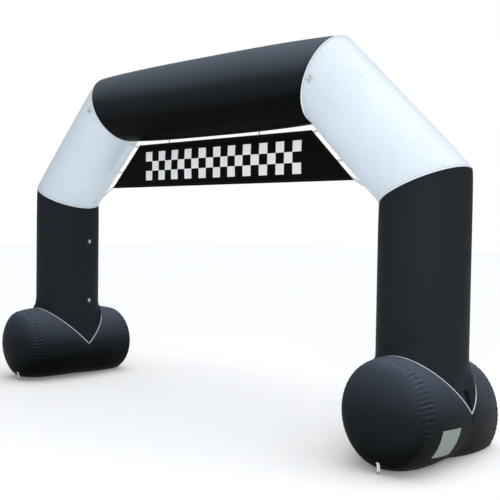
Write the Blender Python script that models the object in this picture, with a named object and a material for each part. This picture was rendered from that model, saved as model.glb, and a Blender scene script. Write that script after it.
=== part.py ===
"""An inflatable event arch: sewn tube sections, feet, welts, banner, ties and rings.

X runs along the arch, Y through it and Z up; the feet rest on Z = 0.
"""

import math

import bmesh
import bpy
from mathutils import Vector

# Driving dimensions, in metres.
SIDES = 52  # facets round every tube
LEG_X = 2.565  # leg axis from the middle of the arch
KNEE_Z = 2.29  # where the leg and diagonal axes meet
BEAM_X = 1.555  # where the diagonal and beam axes meet
BEAM_Z = 3.30
LEG_R = 0.391
DIAGONAL_R = 0.392
BEAM_R = 0.416
SEAM_R = 0.386  # tube radius beside a mitre seam
MITRE = math.tan(math.radians(22.5))  # slope of a mitre seam across its tube

SEAM_GAP = 0.00035  # from a sewn end to the plane of its seam
LIP_DEPTH = 0.016  # how far a seam is drawn in
LIP_LENGTH = 0.014
LIP_SHY = 0.002
RIPPLE = 0.0015  # soft puckers beside a mitre seam
RIPPLE_AT = 0.075

WELT_R = 0.0075
FOOT_WELT_R = 0.005
WELT_SIDES = 5
WELT_GAP = 0.0006

FOOT_Z = 0.425  # height of a foot's axis
FOOT_L = 0.653  # from the middle of a foot to its gathered cap seam
FOOT_WIDE = 0.478  # half width at the middle
FOOT_HIGH = 0.437  # half height at the middle
CAP_R = 0.397
# The ends of the feet by side and end: right and left, back and front
SINK = {(1, 1): 0.152, (1, -1): -0.038, (-1, 1): 0.042, (-1, -1): -0.013}  # how far the axis is lower
SLIM = {(1, 1): 0.0, (1, -1): 0.0, (-1, 1): -0.03, (-1, -1): 0.026}  # how much narrower than the cap
RAISE = {(1, 1): 0.086, (1, -1): 0.04, (-1, 1): 0.021, (-1, -1): 0.01}  # how much higher
SWING = {(1, 1): 0.0, (1, -1): 0.05, (-1, 1): 0.0, (-1, -1): 0.0}  # how far the axis turns to the right
SOFT = 0.08  # length over which an end's own shape begins
BELLY = {1: 0.045, -1: 0.0}  # how far the underside of the right and left foot bulges
DOME = 0.17
CAP_DEGREES = (29.0, 45.0, 62.0, 78.0)
PUCKER_LENGTH = 0.10
PUCKER_PEAK = 0.035
PUCKER = 0.0045
PUCKER_ROOT = 0.0015
LEG_SHARES = (0.03, 0.06, 0.10, 0.15, 0.43, 0.71)
FLARE_TO = 0.15  # share of the leg over which its bottom narrows to the tube

BANNER_Y = 0.097
BANNER_TOP = 2.8665
BANNER_LOW = 2.369
BANNER_TOP_X = 1.273
BANNER_LOW_X = 1.772
BANNER_THICK = 0.002
BANNER_BILLOW = 0.012
BANNER_WAVES = 7
BANNER_COLUMNS = 28
BANNER_ROWS = 6

TIE_WIDTH = 0.022
TIE_THICK = 0.002
TIE_LAP = 0.045
TIE_GAP = 0.0005
TIE_SEAT = 0.0009
TOP_TIE_X = (-0.76, 0.60)
TIE_PLACES = (1.221, 0.759, 0.220)  # along a diagonal, from the knee

PATCH_LIFT = 0.0005
PATCH_THICK = 0.0015
PATCH_CELLS = (4, 4)
LABEL_CELLS = (8, 4)
RING_PATCH = 0.080
RING_WIRE = 0.0026
RING_HALF = 0.019
RING_SIDE = 0.006
RING_ARC = 9
RING_SIDES = 5
KEEPER_WIDTH = 0.024
KEEPER_FOOT = 0.017
KEEPER_THICK = 0.0015
FIT_GAP = 0.0005

RING_FROM_SEAM = 0.072  # front ring, measured down the diagonal
LEG_RING_Z = (1.70, 0.955)
LEG_RING_BACK = 0.05

ANCHOR_TOP = 0.10
ANCHOR_LOW = 0.028
ANCHOR_WIDTH = 0.028
ANCHOR_FOLD = 0.018
ANCHOR_SEWN = 0.03
ANCHOR_FACETS = {(1, 1): 1, (1, -1): 0, (-1, 1): 1, (-1, -1): 1}  # from the foot's lowest line

LABEL_Y = (-0.475, -0.20)
LABEL_ANGLE = (-9.5, -40.5)

COATED_BLACK = ("coated_black", (0.012, 0.014, 0.017), 0.45, 0.0)
COATED_WHITE = ("coated_white", (0.66, 0.74, 0.80), 0.5, 0.0)
COATED_SLATE = ("coated_slate", (0.022, 0.025, 0.033), 0.5, 0.0)
WELT_WHITE = ("welt_white", (0.86, 0.88, 0.90), 0.55, 0.0)
BANNER_BLACK = ("banner_black", (0.004, 0.004, 0.005), 0.6, 0.0)
WEBBING_WHITE = ("webbing_white", (0.78, 0.80, 0.80), 0.8, 0.0)
PATCH_GREY = ("patch_grey", (0.55, 0.58, 0.58), 0.6, 0.0)
RING_STEEL = ("ring_steel", (0.45, 0.46, 0.47), 0.3, 1.0)

UP = Vector((0.0, 0.0, 1.0))
BACK = Vector((0.0, 1.0, 0.0))


def material(spec):
    """The named material, made the first time it is asked for."""
    name, colour, roughness, metallic = spec
    found = bpy.data.materials.get(name)
    if found:
        return found
    made = bpy.data.materials.new(name)
    made.use_nodes = True
    made.diffuse_color = (*colour, 1.0)
    shader = made.node_tree.nodes["Principled BSDF"]
    shader.inputs["Base Color"].default_value = (*colour, 1.0)
    shader.inputs["Roughness"].default_value = roughness
    shader.inputs["Metallic"].default_value = metallic
    return made


def is_flat(face):
    """Whether a face's corners share one plane."""
    normal = face.normal
    first = face.verts[0].co
    return all(abs((v.co - first).dot(normal)) < 1e-6 for v in face.verts)


def finish(name, bm, spec):
    """Turn the mesh into a named object with its faces out and no bent faces."""
    bmesh.ops.recalc_face_normals(bm, faces=bm.faces[:])
    bm.normal_update()
    bent = [f for f in bm.faces if len(f.verts) > 3 and not is_flat(f)]
    bmesh.ops.triangulate(bm, faces=bent)
    mesh = bpy.data.meshes.new(name)
    bm.to_mesh(mesh)
    bm.free()
    mesh.materials.append(material(spec))
    made = bpy.data.objects.new(name, mesh)
    bpy.context.scene.collection.objects.link(made)
    return made


def add_ring(bm, points):
    return [bm.verts.new(p) for p in points]


def bridge(bm, low, high):
    """Faces between two closed rings, where the second may have twice the points."""
    count = len(low)
    twice = len(high) == 2 * count
    for i in range(count):
        j = (i + 1) % count
        if twice:
            a, b, c = high[2 * i], high[2 * i + 1], high[(2 * i + 2) % len(high)]
            bm.faces.new((low[i], b, a))
            bm.faces.new((low[i], low[j], b))
            bm.faces.new((low[j], c, b))
        else:
            bm.faces.new((low[i], low[j], high[j], high[i]))


def sweep(name, stations, radius, sides, spec):
    """A closed loop of round section; each station is a centre, an out and an across."""
    bm = bmesh.new()
    rings = []
    for centre, out, across in stations:
        turns = [math.tau * k / sides for k in range(sides)]
        points = [centre + (out * math.cos(t) + across * math.sin(t)) * radius for t in turns]
        rings.append(add_ring(bm, points))
    for a, b in zip(rings, rings[1:] + rings[:1]):
        bridge(bm, a, b)
    return finish(name, bm, spec)


def prism(name, outline, along, spec):
    """A flat outline pushed along a vector."""
    bm = bmesh.new()
    near = add_ring(bm, outline)
    far = add_ring(bm, [p + along for p in outline])
    bridge(bm, near, far)
    bm.faces.new(near)
    bm.faces.new(far)
    return finish(name, bm, spec)


def sheet(name, inner, outer, spec):
    """A closed sheet between two grids of points of the same size."""
    bm = bmesh.new()
    low = [add_ring(bm, row) for row in inner]
    high = [add_ring(bm, row) for row in outer]
    rows, columns = len(low), len(low[0])
    for grid in (low, high):
        for r in range(rows - 1):
            for c in range(columns - 1):
                bm.faces.new((grid[r][c], grid[r][c + 1], grid[r + 1][c + 1], grid[r + 1][c]))
    rim = [(0, c) for c in range(columns)]
    rim += [(r, columns - 1) for r in range(1, rows)]
    rim += [(rows - 1, c) for c in range(columns - 2, -1, -1)]
    rim += [(r, 0) for r in range(rows - 2, 0, -1)]
    bridge(bm, [low[r][c] for r, c in rim], [high[r][c] for r, c in rim])
    return finish(name, bm, spec)


def angle(i):
    return math.tau * (i % SIDES) / SIDES


class Tube:
    """A tube section between two mitre seams, bending towards the inside of the arch."""

    def __init__(self, start, end, out, middle_r, middles):
        self.start = Vector(start)
        self.along = (Vector(end) - self.start).normalized()
        self.length = (Vector(end) - self.start).length
        self.out = Vector(out).normalized()
        self.middle_r = middle_r
        self.middles = middles

    def radius(self, s):
        share = abs(2 * s / self.length - 1)
        return SEAM_R + (self.middle_r - SEAM_R) * (1 - share**3)

    def point(self, s, radius, turn):
        tilt = MITRE * (2 * s / self.length - 1)
        lean = radius * math.cos(turn)
        side = self.out * lean + BACK * (radius * math.sin(turn))
        return self.start + self.along * (s + tilt * lean) + side

    def normal(self, turn):
        return self.out * math.cos(turn) + BACK * math.sin(turn)

    def ring(self, s, radius, ripple=0.0):
        wave = [radius - (0.0 if i % 2 else 2 * ripple) for i in range(SIDES)]
        return [self.point(s, wave[i], angle(i)) for i in range(SIDES)]

    def stations(self):
        """Place, radius and pucker of each ring: a seam, its lip, its puckers and the body."""
        lip = SEAM_GAP + LIP_LENGTH
        near = [
            (SEAM_GAP, SEAM_R - LIP_DEPTH, 0.0),
            (lip, SEAM_R - LIP_SHY, 0.0),
            (RIPPLE_AT, self.radius(RIPPLE_AT), RIPPLE),
        ]
        places = [self.length * (k + 1) / (self.middles + 1) for k in range(self.middles)]
        body = [(s, self.radius(s), 0.0) for s in places]
        far = [(self.length - s, radius, ripple) for s, radius, ripple in reversed(near)]
        return near + body + far

    def skin_radius(self, s, turn):
        """The faceted skin's distance from the axis."""
        rings = self.stations()
        k = next(k for k in range(1, len(rings)) if rings[k][0] >= s)
        share = (s - rings[k - 1][0]) / (rings[k][0] - rings[k - 1][0])
        step = math.tau / SIDES
        first = int(turn / step)
        corners = []
        for i in (first, first + 1):
            drop = 0.0 if i % 2 else 2.0
            low, high = (ring[1] - drop * ring[2] for ring in rings[k - 1 : k + 1])
            corners.append(low + (high - low) * share)
        past = turn - first * step
        a, b = corners
        return a * b * math.sin(step) / (a * math.sin(past) + b * math.sin(step - past))


def add_tube(name, tube, spec):
    bm = bmesh.new()
    points = [tube.ring(*station) for station in tube.stations()]
    rings = [add_ring(bm, p) for p in points]
    for a, b in zip(rings, rings[1:]):
        bridge(bm, a, b)
    bm.faces.new(rings[0])
    bm.faces.new(rings[-1])
    finish(name, bm, spec)
    return points


def towards(y):
    """How much of an end's own shape the foot has at a distance from its middle."""
    return (math.hypot(y, SOFT) - SOFT) / (math.hypot(FOOT_L, SOFT) - SOFT)


def sink(at, y):
    return SINK[at] * towards(y)


def swing(at, y):
    return SWING[at] * towards(y)


def foot_wide(at, y):
    """Half width of the foot, widest under the leg, where the V pushes it out."""
    plain = CAP_R + (FOOT_WIDE - CAP_R) * (1 - (y / FOOT_L) ** 2)
    return plain - SLIM[at] * towards(y)


def foot_high(at, y):
    plain = CAP_R + (FOOT_HIGH - CAP_R) * (1 - (y / FOOT_L) ** 4)
    return plain + RAISE[at] * towards(y)


def belly(at, y):
    return BELLY[at[0]] * (1 - towards(y) ** 2)


def crotch(at, turn):
    """How far from the middle the foot's skin meets the planes where the leg is sewn in."""
    y = 0.0
    for _ in range(30):
        y = max(0.0, foot_high(at, y) * math.sin(turn) - sink(at, y))
    return y


def leg_rings(side):
    """The rings of a leg from its V seam up to the knee, for the side +1 or -1."""
    knee = Vector((side * LEG_X, 0.0, KNEE_Z))

    def ring(share, inset, lift, ripple=0.0):
        points = []
        for i in range(SIDES):
            turn = angle(i)
            end = 1 if turn <= math.pi else -1
            at = (side, end)
            y = crotch(at, turn if end > 0 else turn - math.pi)
            flare = max(0.0, 1 - share / FLARE_TO) ** 2
            extra = (0.0 if i % 2 else -2 * ripple) - inset
            body = SEAM_R + (LEG_R - SEAM_R) * (1 - share**12)
            wide = body + (foot_wide(at, y) - body) * flare + extra
            deep = body + (y / max(abs(math.sin(turn)), 1e-9) - body) * flare + extra
            deep = body + extra if abs(math.sin(turn)) < 1e-6 else deep
            x_off = wide * math.cos(turn)
            y_off = deep * math.sin(turn)
            low = FOOT_Z + abs(y_off)
            high = KNEE_Z + MITRE * x_off
            z = low + (high - low) * share + lift
            points.append(Vector((side * (LEG_X + x_off) + swing(at, y) * flare, y_off, z)))
        return points

    length = knee.z - FOOT_Z
    rings = [
        ring(0.0, LIP_DEPTH, SEAM_GAP),
        ring(0.0, LIP_SHY, SEAM_GAP + LIP_LENGTH),
    ]
    rings += [ring(share, 0.0, 0.0) for share in LEG_SHARES]
    rings += [
        ring(1 - RIPPLE_AT / length, 0.0, 0.0, RIPPLE),
        ring(1.0, LIP_SHY, -SEAM_GAP - LIP_LENGTH),
        ring(1.0, LIP_DEPTH, -SEAM_GAP),
    ]
    return rings


def add_leg(name, side):
    points = leg_rings(side)
    bm = bmesh.new()
    rings = [add_ring(bm, p) for p in points]
    for a, b in zip(rings, rings[1:]):
        bridge(bm, a, b)
    bm.faces.new(rings[-1])
    half = SIDES // 2
    bottom = rings[0]
    bm.faces.new(bottom[: half + 1])
    bm.faces.new(bottom[half:] + bottom[:1])
    finish(name, bm, COATED_BLACK)
    return points


def on_ground(point):
    return Vector((point.x, point.y, max(0.0, point.z)))


def foot_point(side, turn, y, inset=0.0):
    """A point of the foot's skin, flattened where it rests on the ground."""
    at = (side, 1 if y >= 0 else -1)
    x = (foot_wide(at, y) - inset) * math.cos(turn)
    z = FOOT_Z - sink(at, y) + (foot_high(at, y) - inset) * math.sin(turn)
    z += belly(at, y) * min(0.0, math.sin(turn))
    return on_ground(Vector((side * (LEG_X + x) + swing(at, y), y, z)))


def foot_half(side, end):
    """Rings from the V seam or the middle out to the gathered seam at one end."""
    step = math.tau / SIDES

    def inset_at(turn):
        below = turn - math.pi if turn > 1.5 * math.pi - math.pi and math.sin(turn) < 0 else 0.0
        nearest = min(below, math.pi - below) if math.sin(turn) < 0 else 0.0
        return LIP_DEPTH * max(0.0, 1 - nearest / (1.5 * step))

    inner = []
    lip = []
    for i in range(SIDES):
        turn = angle(i)
        depth = inset_at(turn)
        y = crotch((side, end), turn)
        point = foot_point(side, turn, end * y, depth)
        cut = math.sin(turn) > 1e-9
        start = max(0.0, point.z - FOOT_Z) if cut else 0.0
        point.y = end * (start + SEAM_GAP * cut)
        inner.append(point)
        near = foot_point(side, turn, end * y, LIP_SHY if depth else 0.0)
        high = foot_point(side, turn, end * y, LIP_SHY).z - FOOT_Z
        reach = LIP_LENGTH + SEAM_GAP
        near.y = end * (max(0.0, high if cut else 0.0) + reach)
        lip.append(near)
    rings = [inner, lip]
    out_to = FOOT_L - PUCKER_LENGTH
    for share in (0.5, 1.0):
        ring = []
        for i in range(SIDES):
            y = abs(lip[i].y) + (out_to - abs(lip[i].y)) * share
            ring.append(foot_point(side, angle(i), end * y))
        rings.append(ring)
    for from_seam, height in ((PUCKER_PEAK, PUCKER), (SEAM_GAP, PUCKER_ROOT)):
        ring = []
        for i in range(2 * SIDES):
            wave = height if i % 2 else -height
            turn = math.pi * i / SIDES
            ring.append(foot_point(side, turn, end * (FOOT_L - from_seam), wave))
        rings.append(ring)
    return rings


def add_foot(name, side):
    """The foot is one body: two halves joined under the leg, with the V cut between them."""
    bm = bmesh.new()
    half = SIDES // 2
    ends = {}
    points = {}
    shared = {}
    for end in (-1, 1):
        points[end] = foot_half(side, end)
        rings = []
        for k, ring in enumerate(points[end]):
            verts = []
            for i, point in enumerate(ring):
                joined = k == 0 and (i == 0 or i >= half)
                if joined and i in shared:
                    verts.append(shared[i])
                    continue
                made = bm.verts.new(point)
                if joined:
                    shared[i] = made
                verts.append(made)
            rings.append(verts)
        for a, b in zip(rings, rings[1:]):
            bridge(bm, a, b)
        bm.faces.new(rings[-1])
        ends[end] = rings[0]
    for end in (-1, 1):
        bm.faces.new(ends[end][: half + 1])
    finish(name, bm, COATED_SLATE)
    return points


def add_cap(name, side, end):
    """The domed, gathered end of a foot."""
    bm = bmesh.new()
    rings = []
    at = (side, end)
    axis_x = side * LEG_X + SWING[at]
    seam_wide = CAP_R - SLIM[at]
    seam_high = CAP_R + RAISE[at]
    middle = FOOT_Z - SINK[at]
    for place, height in ((SEAM_GAP, PUCKER_ROOT), (PUCKER_PEAK, PUCKER)):
        turn_up = math.asin(min(1.0, place / DOME))
        ring = []
        for i in range(2 * SIDES):
            turn = math.pi * i / SIDES
            pucker = -height if i % 2 else height
            x = axis_x + side * (seam_wide * math.cos(turn_up) + pucker) * math.cos(turn)
            z = middle + (seam_high * math.cos(turn_up) + pucker) * math.sin(turn)
            ring.append(on_ground(Vector((x, end * (FOOT_L + place), z))))
        rings.append(add_ring(bm, ring))
    for degrees in CAP_DEGREES:
        rise = math.radians(degrees)
        ring = []
        for i in range(SIDES):
            x = axis_x + side * seam_wide * math.cos(rise) * math.cos(angle(i))
            z = middle + seam_high * math.cos(rise) * math.sin(angle(i))
            ring.append(on_ground(Vector((x, end * (FOOT_L + DOME * math.sin(rise)), z))))
        rings.append(add_ring(bm, ring))
    bridge(bm, rings[0], rings[1])
    bridge(bm, rings[2], rings[1])
    for a, b in zip(rings[2:], rings[3:]):
        bridge(bm, a, b)
    bm.faces.new(rings[0])
    pole = bm.verts.new((axis_x, end * (FOOT_L + DOME), middle))
    last = rings[-1]
    for i in range(SIDES):
        bm.faces.new((last[i], last[(i + 1) % SIDES], pole))
    finish(name, bm, COATED_SLATE)


def nested(base, walls, out, across, radius):
    """Where a round welt rests between the two walls beside a seam."""
    height = 0.0
    for wall in walls:
        rise = (wall - base).dot(out)
        run = abs((wall - base).dot(across))
        slope = math.hypot(rise, run)
        height = max(height, slope * (radius + WELT_GAP) / run)
    return base + out * height


def add_mitre_welt(name, tube, at_end, other, other_at_end):
    """The white welt in the groove of a mitre seam between two tubes."""
    edge, lip = tube[-1 if at_end else 0], tube[-2 if at_end else 1]
    far_lip = other[-2 if other_at_end else 1]
    middle = sum(edge, Vector()) / SIDES
    a, b = edge[0] - middle, edge[SIDES // 4] - middle
    across = a.cross(b).normalized()
    stations = []
    for i in range(SIDES):
        chord = edge[(i + 1) % SIDES] - edge[i - 1]
        out = chord.cross(across).normalized()
        if out.dot(edge[i] - middle) < 0:
            out = -out
        mirrored = min(far_lip, key=lambda p: (p - lip[i]).length)
        centre = nested(edge[i], (lip[i], mirrored), out, across, WELT_R)
        stations.append((centre, out, across))
    sweep(name, stations, WELT_R, WELT_SIDES, WELT_WHITE)


def add_foot_welt(name, side, leg):
    """The white welt round the V seam where the leg is sewn into the foot."""
    edge, lip = leg[0], leg[1]
    half = SIDES // 2
    slopes = {1: Vector((0.0, -1.0, 1.0)).normalized(), -1: Vector((0.0, 1.0, 1.0)).normalized()}
    stations = []
    for i in range(SIDES):
        chord = edge[(i + 1) % SIDES] - edge[i - 1]
        if i in (0, half):
            across = UP * math.sqrt(2)
            out = Vector((side * (1.0 if i == 0 else -1.0), 0.0, 0.0))
            centre = edge[i] + out * (LIP_DEPTH - LIP_SHY)
        else:
            across = slopes[1 if i < half else -1]
            out = chord.cross(across).normalized()
            outward = edge[i] - Vector((side * LEG_X, 0.0, FOOT_Z))
            if out.dot(outward) < 0:
                out = -out
            centre = nested(edge[i], (lip[i],), out, across, FOOT_WELT_R)
        stations.append((centre, out, across))
    sweep(name, stations, FOOT_WELT_R, WELT_SIDES, WELT_WHITE)


def banner_half(z):
    share = (BANNER_TOP - z) / (BANNER_TOP - BANNER_LOW)
    return BANNER_TOP_X + (BANNER_LOW_X - BANNER_TOP_X) * share


def add_banner():
    """The hanging banner, a little billowed to the front."""
    front = []
    rear = []
    for r in range(BANNER_ROWS + 1):
        v = r / BANNER_ROWS
        z = BANNER_TOP + (BANNER_LOW - BANNER_TOP) * v
        low_row = []
        high_row = []
        for c in range(BANNER_COLUMNS + 1):
            u = c / BANNER_COLUMNS
            x = banner_half(z) * (2 * u - 1)
            rim = math.sin(math.pi * v) * math.sqrt(math.sin(math.pi * u) + 1e-9)
            wave = 0.5 + 0.5 * math.sin(BANNER_WAVES * math.pi * u + 1.3 * v)
            y = BANNER_Y - BANNER_BILLOW * rim * wave
            low_row.append(Vector((x, y, z)))
            high_row.append(Vector((x, y + BANNER_THICK, z)))
        front.append(low_row)
        rear.append(high_row)
    sheet("banner", front, rear, BANNER_BLACK)


def add_strap(name, start, end, spec, cut=None):
    """A flat webbing tie behind the banner, with its far end cut to a slope."""
    direction = (end - start).normalized()
    half = direction.cross(BACK).normalized() * (TIE_WIDTH / 2)
    slope = cut if cut else half.normalized()
    reach = slope * (TIE_WIDTH / 2 / abs(slope.dot(half.normalized())))
    if reach.dot(half) < 0:
        reach = -reach
    y = BANNER_Y + BANNER_THICK + TIE_GAP
    outline = [start - half, start + half, end + reach, end - reach]
    outline = [Vector((p.x, y, p.z)) for p in outline]
    prism(name, outline, BACK * TIE_THICK, spec)


def add_ties(diagonals, beam):
    """Webbing ties from the banner's edges to the tubes round it."""
    y = BANNER_Y + BANNER_THICK + TIE_GAP + TIE_THICK / 2
    for label, x in zip(("left", "right"), TOP_TIE_X):
        turn = math.pi - math.asin(y / BEAM_R)
        radius = beam.skin_radius(x + BEAM_X, turn) + TIE_SEAT
        skin = math.sqrt(radius**2 - y * y)
        start = Vector((x, y, BANNER_TOP - TIE_LAP))
        end = Vector((x, y, BEAM_Z - skin))
        add_strap(f"tie_top_{label}", start, end, WEBBING_WHITE)
    rows = (
        ("upper", TIE_PLACES[0], BANNER_TOP - TIE_WIDTH),
        ("middle", TIE_PLACES[1], None),
        ("lower", TIE_PLACES[2], BANNER_LOW + TIE_WIDTH),
    )
    for label, side in (("left", -1), ("right", 1)):
        tube = diagonals[side]
        for row, along, at_z in rows:
            turn = math.pi - math.asin(y / DIAGONAL_R)
            seats = []
            for place in (along - TIE_WIDTH, along, along + TIE_WIDTH):
                radius = tube.skin_radius(place, turn) + TIE_SEAT
                seats.append(tube.point(place, radius, turn))
            end = seats[1]
            cut = (seats[2] - seats[0]).normalized()
            z = at_z if at_z else end.z
            edge = Vector((side * banner_half(z), y, z))
            direction = (end - edge).normalized()
            start = edge - direction * TIE_LAP
            add_strap(f"tie_{row}_{label}", start, end, WEBBING_WHITE, cut)


def add_patch(name, skin, turns, places, spec, cells=PATCH_CELLS):
    """A sewn patch that follows a skin; skin gives the point and normal at a turn and place."""
    inner = []
    outer = []
    for r in range(cells[0] + 1):
        turn = turns[0] + (turns[1] - turns[0]) * r / cells[0]
        low_row = []
        high_row = []
        for c in range(cells[1] + 1):
            place = places[0] + (places[1] - places[0]) * c / cells[1]
            point, normal = skin(turn, place)
            low_row.append(point + normal * PATCH_LIFT)
            high_row.append(point + normal * (PATCH_LIFT + PATCH_THICK))
        inner.append(low_row)
        outer.append(high_row)
    sheet(name, inner, outer, spec)


def ring_path():
    """A D ring's line as pairs along its bar and away from it, with its mitred out vectors."""
    points = [(-RING_HALF, 0.0), (RING_HALF, 0.0)]
    for k in range(RING_ARC + 1):
        turn = math.pi * k / RING_ARC
        points.append((RING_HALF * math.cos(turn), RING_SIDE + RING_HALF * math.sin(turn)))
    path = []
    count = len(points)
    for i, point in enumerate(points):
        here = Vector(point)
        before = (here - Vector(points[i - 1])).normalized()
        after = (Vector(points[(i + 1) % count]) - here).normalized()
        mean = (before + after).normalized()
        out = Vector((mean.y, -mean.x)) / max(mean.dot(after), 0.5)
        path.append((here, out))
    return path


def add_d_ring(name, origin, bar, away, normal):
    stations = []
    for here, out in ring_path():
        centre = origin + bar * here.x + away * here.y
        stations.append((centre, bar * out.x + away * out.y, normal))
    sweep(name, stations, RING_WIRE, RING_SIDES, RING_STEEL)


def add_keeper(name, origin, bar, away, normal, spec):
    """The webbing loop that holds a ring's bar down on its patch."""
    room = 2 * RING_WIRE + 2 * FIT_GAP
    high = room + KEEPER_THICK
    outer = [(-KEEPER_FOOT, KEEPER_THICK), (-0.0085, KEEPER_THICK), (-0.0045, high)]
    inner = [(KEEPER_FOOT, 0.0), (0.007, 0.0), (0.0033, room)]
    profile = outer + [(-u, v) for u, v in reversed(outer)]
    profile += inner + [(-u, v) for u, v in reversed(inner)]
    corner = origin - bar * (KEEPER_WIDTH / 2)
    outline = [corner + away * u + normal * v for u, v in profile]
    prism(name, outline, bar * KEEPER_WIDTH, spec)


def add_ring_set(label, skin, turns, places, away_sign, patch_spec):
    """A patch, a D ring lying on it and the webbing loop over the ring's bar."""
    add_patch(f"ring_patch_{label}", skin, turns, places, patch_spec)
    turn = (turns[0] + turns[1]) / 2
    place = (places[0] + places[1]) / 2
    point, normal = skin(turn, place)
    ahead, _ = skin(turn, place + 0.01)
    away = (ahead - point).normalized() * away_sign
    away = (away - normal * away.dot(normal)).normalized()
    bar = away.cross(normal).normalized()
    base = point + normal * (PATCH_LIFT + PATCH_THICK + FIT_GAP) - away * (RING_HALF / 2)
    add_keeper(f"ring_loop_{label}", base, bar, away, normal, WEBBING_WHITE)
    seat = base + normal * (RING_WIRE + FIT_GAP)
    add_d_ring(f"ring_{label}", seat, bar, away, normal)


def tube_skin(tube):
    def skin(turn, place):
        axis = tube.start + tube.along * place
        return axis + tube.normal(turn) * tube.radius(place), tube.normal(turn)

    return skin


def leg_skin(side):
    def skin(turn, z):
        out = Vector((side * math.cos(turn), math.sin(turn), 0.0))
        return Vector((side * LEG_X, 0.0, z)) + out * LEG_R, out

    return skin


def foot_skin(side):
    def skin(turn, y):
        point = foot_point(side, turn, y)
        normal = Vector((side * math.cos(turn), 0.0, math.sin(turn)))
        return point, normal

    return skin


def add_rings(diagonals):
    reach = RING_PATCH / 2
    for label, side in (("left", -1), ("right", 1)):
        tube = diagonals[side]
        middle = tube.length - RING_FROM_SEAM
        spread = reach / DIAGONAL_R
        turns = (1.5 * math.pi - spread, 1.5 * math.pi + spread)
        places = (middle - reach, middle + reach)
        add_ring_set(f"front_{label}", tube_skin(tube), turns, places, -1, PATCH_GREY)
        for level, z in zip(("upper", "lower"), LEG_RING_Z):
            inward = math.pi - math.asin(LEG_RING_BACK / LEG_R)
            turns = (inward - spread, inward + spread)
            places = (z - reach, z + reach)
            name = f"{level}_{label}"
            add_ring_set(name, leg_skin(side), turns, places, -1, COATED_BLACK)


def add_anchor(label, side, end):
    """A webbing tab sewn to the foot's low end, with a D ring for a ground stake."""

    at = (side, end)
    middle = FOOT_Z - SINK[at]
    turn = ANCHOR_FACETS[at] * math.tau / SIDES
    across = (CAP_R - SLIM[at]) * math.sin(turn)
    down = (CAP_R + RAISE[at]) * math.cos(turn)
    seam_r = math.hypot(across, down)
    turned = end * -math.atan2(across, down)
    rises = [math.radians(d) for d in CAP_DEGREES]
    heights = [middle - seam_r * math.cos(rise) for rise in rises]

    def cap_y(z):
        """The cap's facets below its middle, at a height."""
        k = next(k for k in range(1, len(rises)) if heights[k] >= z)
        share = (z - heights[k - 1]) / (heights[k] - heights[k - 1])
        low, high = math.sin(rises[k - 1]), math.sin(rises[k])
        return FOOT_L + DOME * (low + (high - low) * share)

    thick = KEEPER_THICK
    lift = PATCH_LIFT
    room = RING_WIRE + FIT_GAP
    folded = cap_y(ANCHOR_LOW + ANCHOR_FOLD) + 2 * room + thick
    hang = max(cap_y(ANCHOR_TOP - ANCHOR_SEWN) + 2 * lift, folded) + lift
    edges = [z for z in reversed(heights) if ANCHOR_TOP - ANCHOR_SEWN < z < ANCHOR_TOP]
    sewn = [(cap_y(z) + lift, z) for z in [ANCHOR_TOP] + edges]
    outer = [(y + thick, z) for y, z in sewn]
    outer += [
        (hang + thick, ANCHOR_TOP - ANCHOR_SEWN),
        (hang + thick, ANCHOR_LOW - room),
        (hang, ANCHOR_LOW - room - thick),
        (hang - 2 * room, ANCHOR_LOW - room - thick),
        (hang - 2 * room - thick, ANCHOR_LOW - room),
        (hang - 2 * room - thick, ANCHOR_LOW + ANCHOR_FOLD),
    ]
    inner = [
        (hang - 2 * room, ANCHOR_LOW + ANCHOR_FOLD),
        (hang - 2 * room, ANCHOR_LOW - room),
        (hang, ANCHOR_LOW - room),
        (hang, ANCHOR_TOP - ANCHOR_SEWN),
    ]
    inner += sewn[::-1]
    axis = Vector((side * LEG_X + SWING[at], 0.0, middle))
    bar = Vector((math.cos(turned), 0.0, math.sin(turned)))
    away = Vector((math.sin(turned), 0.0, -math.cos(turned)))
    corner = axis - bar * (ANCHOR_WIDTH / 2)
    outline = [corner + away * (middle - z) + BACK * (end * y) for y, z in outer + inner]
    prism(f"anchor_tab_{label}", outline, bar * ANCHOR_WIDTH, WEBBING_WHITE)
    origin = axis + away * (middle - ANCHOR_LOW) + BACK * (end * (hang - room))
    add_d_ring(f"anchor_ring_{label}", origin, bar, away, BACK * end)


def build():
    for thing in list(bpy.data.objects):
        bpy.data.objects.remove(thing, do_unlink=True)

    diagonals = {}
    rings = {}
    for label, side in (("left", -1), ("right", 1)):
        knee = (side * LEG_X, 0.0, KNEE_Z)
        shoulder = (side * BEAM_X, 0.0, BEAM_Z)
        diagonals[side] = Tube(knee, shoulder, (side, 0.0, 1.0), DIAGONAL_R, 3)
        name = f"diagonal_{label}"
        rings[name] = add_tube(name, diagonals[side], COATED_WHITE)
        rings[f"leg_{label}"] = add_leg(f"leg_{label}", side)
        add_foot(f"foot_{label}", side)
        for name, end in (("front", -1), ("back", 1)):
            add_cap(f"foot_cap_{label}_{name}", side, end)
            add_anchor(f"{label}_{name}", side, end)
    beam = Tube((-BEAM_X, 0.0, BEAM_Z), (BEAM_X, 0.0, BEAM_Z), (0.0, 0.0, 1.0), BEAM_R, 5)
    beam_rings = add_tube("beam", beam, COATED_BLACK)

    for label, side in (("left", -1), ("right", 1)):
        diagonal = rings[f"diagonal_{label}"]
        leg = rings[f"leg_{label}"]
        add_mitre_welt(f"welt_knee_{label}", diagonal, False, leg, True)
        add_mitre_welt(f"welt_beam_{label}", diagonal, True, beam_rings, side > 0)
        add_foot_welt(f"welt_foot_{label}", side, leg)

    add_banner()
    add_ties(diagonals, beam)
    add_rings(diagonals)
    turns = tuple(math.radians(a) for a in LABEL_ANGLE)
    add_patch("label_patch", foot_skin(1), turns, LABEL_Y, PATCH_GREY, LABEL_CELLS)


build()
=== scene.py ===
import math

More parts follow.
